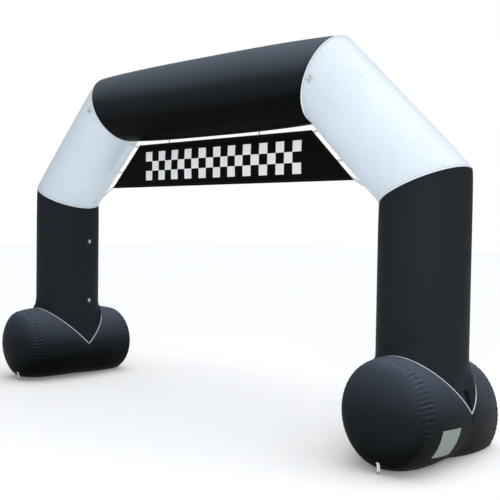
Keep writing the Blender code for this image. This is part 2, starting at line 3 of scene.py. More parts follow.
import bmesh
import bpy
import numpy as np
from mathutils import Matrix, Vector


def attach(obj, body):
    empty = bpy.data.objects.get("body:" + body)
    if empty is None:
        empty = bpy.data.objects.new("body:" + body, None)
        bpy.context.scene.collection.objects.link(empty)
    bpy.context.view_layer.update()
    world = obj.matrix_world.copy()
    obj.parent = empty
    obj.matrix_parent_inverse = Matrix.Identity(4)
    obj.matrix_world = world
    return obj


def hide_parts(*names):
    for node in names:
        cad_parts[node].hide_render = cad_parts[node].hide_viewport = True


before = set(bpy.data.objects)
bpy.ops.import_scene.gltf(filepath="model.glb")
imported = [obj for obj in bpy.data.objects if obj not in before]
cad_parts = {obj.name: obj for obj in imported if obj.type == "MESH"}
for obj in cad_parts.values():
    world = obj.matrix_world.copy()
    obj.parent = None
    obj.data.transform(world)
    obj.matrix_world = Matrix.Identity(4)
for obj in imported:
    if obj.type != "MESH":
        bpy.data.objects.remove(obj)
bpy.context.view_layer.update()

# The part's driving dimensions, in metres.
LEG_X = 2.565
KNEE_Z = 2.29
BEAM_X = 1.555
BEAM_Z = 3.30
LEG_R = 0.391
DIAGONAL_R = 0.392
BEAM_R = 0.416
SEAM_R = 0.386
MITRE = math.tan(math.radians(22.5))
SEAM_GAP = 0.00035
LIP_DEPTH = 0.016
LIP_LENGTH = 0.014
LIP_SHY = 0.002
FOOT_Z = 0.425
FOOT_L = 0.653
FOOT_WIDE = 0.478
FOOT_HIGH = 0.437
CAP_R = 0.397
SINK = {(1, 1): 0.152, (1, -1): -0.038, (-1, 1): 0.042, (-1, -1): -0.013}  # how far the axis is lower
SLIM = {(1, 1): 0.0, (1, -1): 0.0, (-1, 1): -0.03, (-1, -1): 0.026}  # how much narrower than the cap
RAISE = {(1, 1): 0.086, (1, -1): 0.04, (-1, 1): 0.021, (-1, -1): 0.01}  # how much higher
SWING = {(1, 1): 0.0, (1, -1): 0.05, (-1, 1): 0.0, (-1, -1): 0.0}  # how far the axis turns to the right
SOFT = 0.08  # length over which an end's own shape begins
BELLY = {1: 0.045, -1: 0.0}  # how far the underside of the right and left foot bulges
DOME = 0.17
FLARE_TO = 0.15
WELT_R = 0.0075
FOOT_WELT_R = 0.0038
WELT_GAP = 0.0006
BANNER_Y = 0.097
BANNER_TOP = 2.8665
BANNER_LOW = 2.369
BANNER_TOP_X = 1.273
BANNER_LOW_X = 1.772
BANNER_BILLOW = 0.012
BANNER_WAVES = 7
BANNER_THICK = 0.002
HEM = 0.025
TIE_WIDTH = 0.022
TIE_THICK = 0.002
TIE_LAP = 0.045
TIE_GAP = 0.0005
TOP_TIE_X = (-0.76, 0.60)
TIE_PLACES = (1.221, 0.759, 0.220)
PATCH_LIFT = 0.0005
PATCH_THICK = 0.0015
RING_PATCH = 0.080
RING_WIRE = 0.0026
RING_HALF = 0.019
RING_SIDE = 0.006
FIT_GAP = 0.0005
RING_FROM_SEAM = 0.072
LEG_RING_Z = (1.70, 0.955)
LEG_RING_BACK = 0.05
LABEL_Y = (-0.475, -0.20)
LABEL_ANGLE = (-9.5, -40.5)
LABEL_R = 0.455  # of the foot where the label lies

# How finely the cloth is made.
TUBE_AROUND = 300
FOOT_AROUND = 480
PUCKERS = 60


# Materials


def new_material(name):
    made = bpy.data.materials.new(name)
    made.use_nodes = True
    tree = made.node_tree
    return made, tree, tree.nodes["Principled BSDF"]


def node(tree, kind, inputs=(), **settings):
    made = tree.nodes.new(kind)
    for key, value in settings.items():
        setattr(made, key, value)
    for key, value in dict(inputs).items():
        if hasattr(value, "is_output"):
            tree.links.new(value, made.inputs[key])
        else:
            made.inputs[key].default_value = value
    return made


def calc(tree, operation, *values):
    made = node(tree, "ShaderNodeMath", operation=operation)
    for i, value in enumerate(values):
        if hasattr(value, "is_output"):
            tree.links.new(value, made.inputs[i])
        else:
            made.inputs[i].default_value = value
    return made.outputs[0]


def mix(tree, share, a, b):
    made = node(tree, "ShaderNodeMix", data_type="RGBA")
    for key, value in ((0, share), (6, a), (7, b)):
        if hasattr(value, "is_output"):
            tree.links.new(value, made.inputs[key])
        else:
            made.inputs[key].default_value = value
    return made.outputs[2]


def rgba(colour):
    return (*colour, 1.0)


def weave(tree, u, v, pitch):
    """Height of a plain weave from two lengths along the cloth, 0 to 1."""
    across = calc(tree, "SINE", calc(tree, "MULTIPLY", u, math.tau / pitch))
    along = calc(tree, "SINE", calc(tree, "MULTIPLY", v, math.tau / pitch))
    return calc(tree, "MULTIPLY_ADD", calc(tree, "MULTIPLY", across, along), 0.5, 0.5)


def cloth(name, painted_light_shades, rough, pitch, specular, dust=0.0):
    """Coated cloth: painted light from above, darker below and paler above, with a weave,
    soft unevenness, painted shade in its creases, and dust near the ground."""
    made, tree, shader = new_material(name)
    uv = node(tree, "ShaderNodeUVMap", uv_map="cloth")
    parts = node(tree, "ShaderNodeSeparateXYZ", {0: uv.outputs[0]})
    place = node(tree, "ShaderNodeTexCoord").outputs["Object"]
    wide = node(tree, "ShaderNodeTexNoise", {"Vector": place, "Scale": 1.6, "Detail": 3.0})
    fine = node(tree, "ShaderNodeTexNoise", {"Vector": place, "Scale": 24.0, "Detail": 4.0})
    crease_shade = node(tree, "ShaderNodeAttribute", attribute_name="crease_shade").outputs["Fac"]
    # Painted light from above: the base colour follows how far each point faces up.
    painted_top_light = node(tree, "ShaderNodeAttribute", attribute_name="painted_top_light").outputs["Fac"]
    painted_light_ramp = node(tree, "ShaderNodeValToRGB", {"Fac": painted_top_light})
    stops = painted_light_ramp.color_ramp.elements
    for at, colour in painted_light_shades[1:-1]:
        stops.new(at)
    for stop, (at, colour) in zip(stops, painted_light_shades):
        stop.position = at
        stop.color = rgba(colour)
    uneven = calc(tree, "MULTIPLY_ADD", wide.outputs[0], 0.7, calc(tree, "MULTIPLY", fine.outputs[0], 0.3))
    # Painted shade in the creases, mixed with random unevenness of tone, darkens the base colour.
    crease_shade_and_tone = calc(tree, "MULTIPLY_ADD", crease_shade, 0.6, calc(tree, "MULTIPLY_ADD", uneven, 0.5, -0.15))
    crease_shade_and_tone = node(tree, "ShaderNodeClamp", {"Value": crease_shade_and_tone}).outputs[0]
    darker = mix(tree, 0.55, painted_light_ramp.outputs[0], (0.0, 0.0, 0.0, 1.0))
    base = mix(tree, crease_shade_and_tone, painted_light_ramp.outputs[0], darker)
    if dust:
        height = node(tree, "ShaderNodeSeparateXYZ", {0: place}).outputs["Z"]
        low = calc(tree, "MULTIPLY_ADD", height, -12.0, 1.0)
        low = node(tree, "ShaderNodeClamp", {"Value": low}).outputs[0]
        patchy = calc(tree, "MULTIPLY", calc(tree, "MULTIPLY", low, fine.outputs[0]), dust)
        base = mix(tree, patchy, base, (0.10, 0.11, 0.085, 1.0))
    tree.links.new(base, shader.inputs["Base Color"])
    roughness = calc(tree, "MULTIPLY_ADD", fine.outputs[0], 0.12, rough - 0.06)
    tree.links.new(roughness, shader.inputs["Roughness"])
    threads = weave(tree, parts.outputs[0], parts.outputs[1], pitch)
    cockle = node(tree, "ShaderNodeTexNoise", {"Vector": place, "Scale": 9.0, "Detail": 2.0})
    first = node(tree, "ShaderNodeBump", {"Height": cockle.outputs[0], "Distance": 0.004, "Strength": 0.35})
    bump = node(
        tree,
        "ShaderNodeBump",
        {"Height": threads, "Distance": 0.00015, "Strength": 0.5, "Normal": first.outputs[0]},
    )
    tree.links.new(bump.outputs[0], shader.inputs["Normal"])
    shader.inputs["Specular IOR Level"].default_value = specular
    return made


# Painted light from above: shades from facing down (0) through upright (0.5) to facing up (1).
BLACK = cloth(
    "coated_black_cloth",
    [
        (0.0, (0.0008, 0.0013, 0.0011)),
        (0.25, (0.0016, 0.0024, 0.0024)),
        (0.5, (0.0165, 0.0210, 0.0250)),
        (0.75, (0.0800, 0.0980, 0.1150)),
        (1.0, (0.1350, 0.1600, 0.2000)),
    ],
    0.5,
    0.0016,
    0.03,
)
SLATE = cloth(
    "coated_slate_cloth",
    [
        (0.0, (0.0008, 0.0014, 0.0011)),
        (0.3, (0.0018, 0.0030, 0.0027)),
        (0.52, (0.0125, 0.0160, 0.0200)),
        (0.75, (0.0480, 0.0580, 0.0750)),
        (1.0, (0.1100, 0.1270, 0.1620)),
    ],
    0.5,
    0.0016,
    0.03,
    dust=0.5,
)
WHITE = cloth(
    "coated_white_cloth",
    [
        (0.0, (0.66, 0.75, 0.82)),
        (0.5, (0.72, 0.80, 0.88)),
        (1.0, (0.84, 0.91, 0.97)),
    ],
    0.5,
    0.0016,
    0.3,
)


def plain_cloth(name, colour, rough, bump_size=900.0):
    """A small sewn piece of cloth or tape, with fine threads and slight unevenness."""
    made, tree, shader = new_material(name)
    place = node(tree, "ShaderNodeTexCoord").outputs["Object"]
    fine = node(tree, "ShaderNodeTexNoise", {"Vector": place, "Scale": 60.0, "Detail": 3.0})
    threads = node(tree, "ShaderNodeTexNoise", {"Vector": place, "Scale": bump_size, "Detail": 1.0})
    dark = tuple(0.78 * c for c in colour)
    base = mix(tree, fine.outputs[0], rgba(colour), rgba(dark))
    tree.links.new(base, shader.inputs["Base Color"])
    shader.inputs["Roughness"].default_value = rough
    bump = node(tree, "ShaderNodeBump", {"Height": threads.outputs[0], "Distance": 0.0003, "Strength": 0.6})
    tree.links.new(bump.outputs[0], shader.inputs["Normal"])
    return made


WELT = plain_cloth("welt_tape", (0.86, 0.88, 0.90), 0.5)


def dashes(tree, d, run, line, wide=0.0007, pitch=0.006):
    """A line of stitches at a distance from an edge: 1 on the thread, 0 elsewhere."""
    off = calc(tree, "ABSOLUTE", calc(tree, "SUBTRACT", d, line))
    on = calc(tree, "LESS_THAN", off, wide)
    dash = calc(tree, "LESS_THAN", calc(tree, "MODULO", calc(tree, "ABSOLUTE", run), pitch), pitch * 0.68)
    return calc(tree, "MULTIPLY", on, dash)


def sewn_cloth(name, colour, thread, rough, pitch, lines, checks=None, ribs=False, specular=0.3):
    """Flat cloth or webbing with stitch lines; its edge and run attributes say where."""
    made, tree, shader = new_material(name)
    uv = node(tree, "ShaderNodeUVMap", uv_map="cloth")
    parts = node(tree, "ShaderNodeSeparateXYZ", {0: uv.outputs[0]})
    u, v = parts.outputs[0], parts.outputs[1]
    edge = node(tree, "ShaderNodeAttribute", attribute_name="edge").outputs["Fac"]
    run = node(tree, "ShaderNodeAttribute", attribute_name="run").outputs["Fac"]
    place = node(tree, "ShaderNodeTexCoord").outputs["Object"]
    fine = node(tree, "ShaderNodeTexNoise", {"Vector": place, "Scale": 40.0, "Detail": 4.0})
    dark = tuple(0.72 * c for c in colour)
    base = mix(tree, fine.outputs[0], rgba(colour), rgba(dark))
    if checks:
        size, columns, rows, white = checks
        across = calc(tree, "FLOOR", calc(tree, "MULTIPLY_ADD", u, 1 / size, 0.5))
        down = calc(tree, "FLOOR", calc(tree, "MULTIPLY_ADD", v, 1 / size, 0.5))
        odd = calc(tree, "FLOORED_MODULO", calc(tree, "ADD", across, down), 2.0)
        inside = calc(tree, "LESS_THAN", calc(tree, "ABSOLUTE", u), size * columns / 2)
        level = calc(tree, "LESS_THAN", calc(tree, "ABSOLUTE", v), size * rows / 2)
        front = node(tree, "ShaderNodeAttribute", attribute_name="front").outputs["Fac"]
        within = calc(tree, "MULTIPLY", level, front)
        printed = calc(tree, "MULTIPLY", calc(tree, "MULTIPLY", odd, inside), within)
        pale = mix(tree, fine.outputs[0], rgba(white), rgba(tuple(0.9 * c for c in white)))
        base = mix(tree, printed, base, pale)
    stitches = None
    for line in lines:
        mark = dashes(tree, edge, run, line)
        stitches = mark if stitches is None else calc(tree, "MAXIMUM", stitches, mark)
    if stitches is not None:
        base = mix(tree, stitches, base, rgba(thread))
    tree.links.new(base, shader.inputs["Base Color"])
    roughness = calc(tree, "MULTIPLY_ADD", fine.outputs[0], 0.12, rough - 0.06)
    tree.links.new(roughness, shader.inputs["Roughness"])
    threads = weave(tree, u, v, pitch)
    if ribs:
        rib = calc(tree, "ABSOLUTE", calc(tree, "SINE", calc(tree, "MULTIPLY", v, math.pi / (2 * pitch))))
        threads = calc(tree, "MULTIPLY_ADD", rib, 0.7, calc(tree, "MULTIPLY", threads, 0.3))
    if stitches is not None:
        threads = calc(tree, "MULTIPLY_ADD", stitches, 1.5, threads)
    bump = node(tree, "ShaderNodeBump", {"Height": threads, "Distance": 0.00035, "Strength": 0.6})
    tree.links.new(bump.outputs[0], shader.inputs["Normal"])
    shader.inputs["Specular IOR Level"].default_value = specular
    return made


def steel(name):
    """Bright wire with fine drawing marks and a few dull spots."""
    made, tree, shader = new_material(name)
    place = node(tree, "ShaderNodeTexCoord").outputs["Object"]
    spots = node(tree, "ShaderNodeTexNoise", {"Vector": place, "Scale": 160.0, "Detail": 4.0})
    base = mix(tree, spots.outputs[0], (0.62, 0.63, 0.64, 1.0), (0.34, 0.34, 0.35, 1.0))
    tree.links.new(base, shader.inputs["Base Color"])
    roughness = calc(tree, "MULTIPLY_ADD", spots.outputs[0], 0.3, 0.12)
    tree.links.new(roughness, shader.inputs["Roughness"])
    shader.inputs["Metallic"].default_value = 1.0
    return made


BANNER = sewn_cloth(
    "banner_cloth",
    (0.0016, 0.0016, 0.0017),
    (0.05, 0.05, 0.05),
    0.75,
    0.0012,
    (0.004, 0.021),
    checks=(0.11, 21, 3, (0.90, 0.91, 0.92)),
    specular=0.08,
)
WEBBING = sewn_cloth("white_webbing", (0.80, 0.82, 0.82), (0.60, 0.62, 0.62), 0.7, 0.0013, (0.0025,), ribs=True)
RING_PATCH_PALE = sewn_cloth("pale_patch", (0.66, 0.72, 0.76), (0.86, 0.88, 0.88), 0.5, 0.0014, (0.005, 0.012))
RING_PATCH_DARK = sewn_cloth("dark_patch", (0.006, 0.007, 0.009), (0.05, 0.055, 0.06), 0.45, 0.0014, (0.005, 0.012))
LABEL = sewn_cloth("label_cloth", (0.26, 0.31, 0.29), (0.16, 0.18, 0.17), 0.55, 0.0010, (0.006,))
STEEL = steel("ring_wire")
TAB = plain_cloth("anchor_webbing", (0.80, 0.82, 0.82), 0.7, 700.0)


# Meshes


def grid_piece(name, points, uvs, crease_shades, material, closed=True, caps=True):
    """A skin from a grid of points: rows along the piece, columns round it."""
    rows, columns = points.shape[:2]
    span = columns if closed else columns - 1
    faces = []
    corners = []
    for r in range(rows - 1):
        for c in range(span):
            d = (c + 1) % columns
            faces.append((r * columns + c, r * columns + d, (r + 1) * columns + d, (r + 1) * columns + c))
            corners.append(((r, c), (r, c + 1), (r + 1, c + 1), (r + 1, c)))
    if caps:
        faces.append(tuple(range(columns - 1, -1, -1)))
        corners.append(tuple((0, c) for c in range(columns - 1, -1, -1)))
        base = (rows - 1) * columns
        faces.append(tuple(range(base, base + columns)))
        corners.append(tuple((rows - 1, c) for c in range(columns)))
    mesh = bpy.data.meshes.new(name)
    mesh.from_pydata(points.reshape(-1, 3).tolist(), [], faces)
    layer = mesh.uv_layers.new(name="cloth")
    flat = [uvs[r][c] for face in corners for r, c in face]
    layer.data.foreach_set("uv", np.array(flat, np.float32).reshape(-1))
    # Painted shade in the creases and puckers.
    held = mesh.attributes.new("crease_shade", "FLOAT", "POINT")
    held.data.foreach_set("value", np.asarray(crease_shades, np.float32).reshape(-1))
    painted_top_light = mesh.attributes.new("painted_top_light", "FLOAT", "POINT")
    mesh.shade_smooth()
    mesh.materials.append(material)
    made = bpy.data.objects.new(name, mesh)
    bpy.context.scene.collection.objects.link(made)
    return made


def mark_painted_top_light(piece, most=1.0):
    """Each point's share of facing up, which sets the painted light from above: 0 down, 0.5 upright, 1 up."""
    mesh = piece.data
    normals = np.zeros(len(mesh.vertices) * 3, np.float32)
    mesh.vertices.foreach_get("normal", normals)
    if "painted_top_light" in mesh.attributes:
        mesh.attributes["painted_top_light"].data.foreach_set("value", np.minimum(most, 0.5 + 0.5 * normals[2::3]))


def face_out(piece):
    """Turn the faces outward, and leave the closing ends flat."""
    bm = bmesh.new()
    bm.from_mesh(piece.data)
    bmesh.ops.recalc_face_normals(bm, faces=bm.faces[:])
    for face in bm.faces:
        if len(face.verts) > 4:
            face.smooth = False
    bm.to_mesh(piece.data)
    bm.free()
    mark_painted_top_light(piece)
    return piece


def settle(piece, slot, *nodes, fill=None):
    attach(piece, "root")
    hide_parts(*nodes)
    return piece


def wobble(turns, seed, orders):
    """An uneven wave round a tube, about -1 to 1."""
    rng = np.random.default_rng(seed)
    total = np.zeros_like(turns)
    for order in orders:
        size = math.sqrt(2.0 / len(orders)) * rng.uniform(0.6, 1.0)
        total += size * np.sin(order * turns + rng.uniform(0, math.tau))
    return np.clip(total / 1.6, -1.0, 1.0)


def smooth(t):
    t = np.clip(t, 0.0, 1.0)
    return t * t * (3 - 2 * t)


def places_along(length, ends=0.2, edge=26, middle=46):
    """Distances along a tube, close together beside both seams."""
    lip = np.array([SEAM_GAP, SEAM_GAP + LIP_LENGTH * 0.5, SEAM_GAP + LIP_LENGTH])
    near = SEAM_GAP + LIP_LENGTH + (ends - LIP_LENGTH) * (np.arange(1, edge + 1) / edge) ** 1.4
    body = np.linspace(near[-1], length - near[-1], middle + 2)[1:-1]
    return np.concatenate([lip, near, body, length - near[::-1], length - lip[::-1]])


def seam_drop(d, turns, seed):
    """How far the skin lies inside its plain radius at a distance from a mitre seam, and the painted shade in its
    puckers.
    """
    lip = np.interp(d, [SEAM_GAP, SEAM_GAP + LIP_LENGTH, 0.04, 0.11], [LIP_DEPTH, LIP_SHY, 0.0006, 0.0])
    jitter = 0.5 * wobble(turns, seed, (3, 5, 8))
    folds = np.abs(np.sin(0.5 * (46 * turns) + jitter * 2.0))
    uneven = 0.55 + 0.45 * wobble(turns, seed + 1, (4, 7, 11))
    reach = 0.07 + 0.05 * (0.5 + 0.5 * wobble(turns, seed + 2, (9, 13, 17)))
    fade = smooth(1 - d / reach) * smooth((d - 0.004) / 0.02)
    depth = 0.0026 * uneven * fade * (1 - folds**0.6)
    # Painted shade in the puckers, darker where they are deeper.
    crease_shade = np.clip(depth / 0.0022, 0, 1) * 0.6
    return lip + depth, crease_shade


def tube_skin(name, start, end, out, middle_r, seed, material):
    """The cloth of one straight section between two mitre seams."""
    start, end, out = (np.array(v, float) for v in (start, end, out))
    length = np.linalg.norm(end - start)
    along = (end - start) / length
    out = out / np.linalg.norm(out)
    back = np.array([0.0, 1.0, 0.0])
    turns = np.arange(TUBE_AROUND) * math.tau / TUBE_AROUND
    rows = []
    crease_shades = []
    uvs = []
    for s in places_along(length):
        share = abs(2 * s / length - 1)
        radius = SEAM_R + (middle_r - SEAM_R) * (1 - share**3)
        # first is the painted shade in the puckers beside the seam.
        near, first = seam_drop(min(s, length - s), turns, seed + (0 if s < length / 2 else 50))
        slack = 0.0012 * (1 + wobble(turns + 0.8 * s, seed + 9, (2, 3, 5))) * math.sin(math.pi * s / length)
        r = radius - near - slack
        tilt = MITRE * (2 * s / length - 1)
        lean = r * np.cos(turns)
        point = start + np.outer(s + tilt * lean, along) + np.outer(lean, out)
        point += np.outer(r * np.sin(turns), back)
        rows.append(point)
        crease_shades.append(first)
        uvs.append([(radius * t, s) for t in np.append(turns, math.tau)])
    piece = grid_piece(name, np.array(rows), uvs, np.array(crease_shades), material)
    return face_out(piece)


def towards(y):
    return (np.hypot(y, SOFT) - SOFT) / (np.hypot(FOOT_L, SOFT) - SOFT)


def sink(at, y):
    return SINK[at] * towards(y)


def swing(at, y):
    return SWING[at] * towards(y)


def foot_wide(at, y):
    return CAP_R + (FOOT_WIDE - CAP_R) * (1 - (y / FOOT_L) ** 2) - SLIM[at] * towards(y)


def foot_high(at, y):
    return CAP_R + (FOOT_HIGH - CAP_R) * (1 - (y / FOOT_L) ** 4) + RAISE[at] * towards(y)


def belly(at, y):
    return BELLY[at[0]] * (1 - towards(y) ** 2)


def crotch(at, turns):
    y = np.zeros_like(turns)
    for _ in range(30):
        y = np.maximum(0.0, foot_high(at, y) * np.sin(turns) - sink(at, y))
    return y


def leg_skin(name, side, seed):
    """The cloth of a leg, from its V seam on the foot up to the knee seam."""
    turns = np.arange(TUBE_AROUND) * math.tau / TUBE_AROUND
    across = np.sin(turns)
    rear = turns <= math.pi
    back, front = (side, 1), (side, -1)
    y = np.where(rear, crotch(back, turns), crotch(front, turns - math.pi))
    low_deep = np.where(np.abs(across) > 1e-6, y / np.maximum(np.abs(across), 1e-9), foot_wide(back, 0.0))
    low_wide = np.where(rear, foot_wide(back, y), foot_wide(front, y))
    low_swing = np.where(rear, swing(back, y), swing(front, y))
    length = KNEE_Z - FOOT_Z
    rows = []
    crease_shades = []
    uvs = []
    lip = [(0.0, SEAM_GAP), (0.0, SEAM_GAP + LIP_LENGTH * 0.5), (0.0, SEAM_GAP + LIP_LENGTH)]
    near = [(0.0, SEAM_GAP + LIP_LENGTH + d) for d in np.linspace(0.005, 0.06, 9)]
    shares = np.concatenate([np.linspace(0.04, 0.26, 26), np.linspace(0.28, 0.84, 32)])
    body = [(share, 0.0) for share in shares]
    top = [(1.0, -d) for d in (0.2, 0.17, 0.14, 0.12, 0.1, 0.08, 0.065, 0.052, 0.042, 0.034, 0.027, 0.021)]
    end = [(1.0, -SEAM_GAP - LIP_LENGTH), (1.0, -SEAM_GAP - LIP_LENGTH * 0.5), (1.0, -SEAM_GAP)]
    for share, lift in lip + near + body + top + end:
        level = share + lift / length
        flare = max(0.0, 1 - level / FLARE_TO) ** 2
        tube = SEAM_R + (LEG_R - SEAM_R) * (1 - max(0.0, level) ** 12)
        if share == 1.0:
            drop, crease_shade = seam_drop(-lift, turns, seed + 50)
        elif lift:
            drop = np.interp(lift, [SEAM_GAP, SEAM_GAP + LIP_LENGTH, 0.05], [LIP_DEPTH, LIP_SHY, 0.0])
            _, crease_shade = seam_drop(lift, turns, seed)
        else:
            drop = np.zeros_like(turns)
            crease_shade = np.zeros_like(turns)
        slack = 0.001 * (1 + wobble(turns + 1.1 * level, seed + 9, (2, 3, 5)))
        slack = slack * math.sin(math.pi * min(1.0, max(0.0, level)))
        wide = tube + (low_wide - tube) * flare - drop - slack
        deep = tube + (low_deep - tube) * flare - drop - slack
        x = wide * np.cos(turns)
        y_off = deep * np.sin(turns)
        low = FOOT_Z + np.abs(y_off)
        high = KNEE_Z + MITRE * x
        z = low + (high - low) * share + lift
        rows.append(np.stack([side * (LEG_X + x) + low_swing * flare, y_off, z], axis=1))
        crease_shades.append(crease_shade)
        uvs.append([(tube * t, level * length) for t in np.append(turns, math.tau)])
    piece = face_out(grid_piece(name, np.array(rows), uvs, np.array(crease_shades), BLACK, caps=True))
    # The leg's painted light from above goes no paler than its upright shade.
    mark_painted_top_light(piece, 0.5)
    return piece


def on_ground(z):
    """Height with a soft edge where cloth is pressed on the ground."""
    return 0.5 * (z + np.sqrt(z * z + 0.004**2))


def gather(turns, d, seed):
    """Height of the gathers across a foot's cap seam, at a distance from it, and the painted shade in their
    valleys.
    """
    phase = 0.5 * PUCKERS * turns + 1.1 * wobble(turns, seed, (3, 4, 7, 9))
    lobe = np.abs(np.sin(phase))
    size = 0.8 + 0.4 * wobble(turns, seed + 1, (5, 13, 21, 29))
    reach = 0.10 + 0.03 * wobble(turns, seed + 2, (6, 11, 19, 27))
    fade = smooth(1 - d / reach) * (0.55 + 0.45 * smooth(d / 0.02))
    height = 0.0095 * size * fade * (lobe**0.45 - 0.82)
    groove = 0.003 * np.exp(-d / 0.007)
    # Painted shade in the valleys between the gathers.
    dark = np.clip(1 - lobe * 2.2, 0, 1) * fade
    return height - groove, dark


def foot_skin(name, side, seed):
    """The cloth of a foot between its two cap seams, with the V cut for the leg."""
    turns = np.arange(FOOT_AROUND) * math.tau / FOOT_AROUND
    below = np.minimum((turns - math.pi) % math.tau, (-turns) % math.tau)
    upper = (turns > 1e-9) & (turns < math.pi - 1e-9)
    depth = np.where(upper, 1.0, np.clip(1 - np.where(upper, 0.0, below) / (1.5 * math.tau / 52), 0, 1))
    lips = (0.0, 0.5, 1.0)
    near = np.linspace(0.004, 0.05, 8)
    body = np.linspace(0.0, 1.0, 18)[1:]
    gathers = 0.14 * (1 - np.linspace(0.0, 1.0, 30)[1:]) ** 1.15
    halves = {}
    for end in (-1, 1):
        at = (side, end)
        start = crotch(at, turns)
        rows = []

        def add(y, drop, extra=0.0, crease_shade=None):
            wide = foot_wide(at, y) - drop + extra
            high = foot_high(at, y) - drop + extra
            x = wide * np.cos(turns)
            low = belly(at, y) * np.minimum(0.0, np.sin(turns))
            z = on_ground(FOOT_Z - sink(at, y) + high * np.sin(turns) + low)
            dark = np.zeros_like(turns) if crease_shade is None else crease_shade
            points = [side * (LEG_X + x) + swing(at, y), end * y * np.ones_like(turns), z]
            rows.append((np.stack(points, axis=1), dark))

        for lip in lips:
            drop = depth * (LIP_DEPTH + (LIP_SHY - LIP_DEPTH) * lip)
            cut = np.maximum(0.0, (foot_high(at, start) - drop) * np.sin(turns) - sink(at, start))
            y = np.where(upper, cut, 0.0) + 0.0004 + LIP_LENGTH * lip
            add(y, drop)
        first = start + LIP_LENGTH
        for d in near:
            add(first + d, depth * LIP_SHY * smooth(1 - d / 0.05))
        first = first + near[-1]
        out_to = FOOT_L - gathers[0] - 0.01
        reach = np.maximum(first, out_to)
        for share in body:
            add(np.minimum(first + (reach - first) * share, FOOT_L - gathers[0] - 0.002), 0.0)
        for d in gathers:
            height, dark = gather(turns, d, seed + end)
            add(np.full_like(turns, FOOT_L - max(d, SEAM_GAP)), 0.0, height, dark)
        halves[end] = rows
    middle = halves[1][0][0].copy()
    middle[:, 1] = 0.0
    middle[:, 2] = np.where(upper, FOOT_Z - 0.0004, middle[:, 2])
    rows = [r[0] for r in reversed(halves[-1])] + [middle] + [r[0] for r in halves[1]]
    crease_shades = [r[1] for r in reversed(halves[-1])] + [np.zeros_like(turns)] + [r[1] for r in halves[1]]
    round_again = np.append(turns, math.tau)
    uvs = []
    for row in rows:
        uvs.append([(0.44 * t, float(row[k % FOOT_AROUND, 1])) for k, t in enumerate(round_again)])
    return face_out(grid_piece(name, np.array(rows), uvs, np.array(crease_shades), SLATE))


def cap_skin(name, side, end, seed):
    """The gathered, domed cloth that closes one end of a foot."""
    turns = np.arange(FOOT_AROUND) * math.tau / FOOT_AROUND
    at = (side, end)
    seam_wide = CAP_R - SLIM[at]
    seam_high = CAP_R + RAISE[at]
    middle = FOOT_Z - SINK[at]
    rises = np.concatenate([np.linspace(0.002, 0.85, 34), np.linspace(0.9, 1.54, 14)])
    rows = []
    crease_shades = []
    uvs = []
    for rise in rises:
        d = DOME * math.sin(rise)
        height, dark = gather(turns, d, seed + end)
        slack = 0.0015 * (1 + wobble(turns, seed + 5, (2, 3, 5))) * math.sin(2 * rise) if rise > 0.4 else 0.0
        x = (seam_wide * math.cos(rise) + height) * np.cos(turns)
        z = on_ground(middle + (seam_high * math.cos(rise) + height) * np.sin(turns))
        y = FOOT_L + d - slack
        rows.append(np.stack([side * (LEG_X + x) + SWING[at], end * y * np.ones_like(turns), z], axis=1))
        crease_shades.append(dark)
        uvs.append([(0.4 * t, d) for t in np.append(turns, math.tau)])
    return face_out(grid_piece(name, np.array(rows), uvs, np.array(crease_shades), SLATE))


def loop_piece(name, centres, outs, acrosses, radius, sides, material):
    """A closed loop of round section."""
    turns = np.arange(sides) * math.tau / sides
    ring = np.cos(turns)[None, :, None] * outs[:, None, :] + np.sin(turns)[None, :, None] * acrosses[:, None, :]
    points = centres[:, None, :] + radius * ring
    count = len(centres)
    faces = []
    for a in range(count):
        b = (a + 1) % count
        for c in range(sides):
            d = (c + 1) % sides
            faces.append((a * sides + c, a * sides + d, b * sides + d, b * sides + c))
    mesh = bpy.data.meshes.new(name)
    mesh.from_pydata(points.reshape(-1, 3).tolist(), [], faces)
    mesh.shade_smooth()
    mesh.materials.append(material)
    made = bpy.data.objects.new(name, mesh)
    bpy.context.scene.collection.objects.link(made)
    return face_out(made)


def groove_line(edges, lips, across):
    """Centres and outs of a round welt that lies in the groove beside a seam."""
    chord = np.roll(edges, -1, axis=0) - np.roll(edges, 1, axis=0)
    out = np.cross(chord, across)
    out /= np.linalg.norm(out, axis=1)[:, None]
    middle = edges.mean(axis=0)
    flip = np.sign(((edges - middle) * out).sum(axis=1))
    out *= flip[:, None]
    rise = ((lips - edges) * out).sum(axis=1)
    run = np.abs(((lips - edges) * across).sum(axis=1))
    return out, np.hypot(rise, run), run


def mitre_welt(name, start, end, out_dir, at_end):
    """The white welt in the groove of a mitre seam."""
    start, end, out_dir = (np.array(v, float) for v in (start, end, out_dir))
    length = np.linalg.norm(end - start)
    along = (end - start) / length
    out_dir = out_dir / np.linalg.norm(out_dir)
    turns = np.arange(208) * math.tau / 208

    def ring(d, radius):
        s = length - d if at_end else d
        tilt = MITRE * (2 * s / length - 1)
        lean = radius * np.cos(turns)
        point = start + np.outer(s + tilt * lean, along) + np.outer(lean, out_dir)
        return point + np.outer(radius * np.sin(turns), [0.0, 1.0, 0.0])

    edges = ring(SEAM_GAP, SEAM_R - LIP_DEPTH)
    lips = ring(SEAM_GAP + LIP_LENGTH, SEAM_R - LIP_SHY)
    across = np.cross(edges[0] - edges.mean(axis=0), edges[52] - edges.mean(axis=0))
    across /= np.linalg.norm(across)
    across = np.tile(across, (len(edges), 1))
    out, slope, run = groove_line(edges, lips, across)
    centres = edges + out * (slope * (WELT_R + WELT_GAP) / run)[:, None]
    centres = centres - np.sign(((lips - edges) * across).sum(axis=1))[:, None] * across * SEAM_GAP
    return loop_piece(name, centres, out, across, WELT_R, 12, WELT)


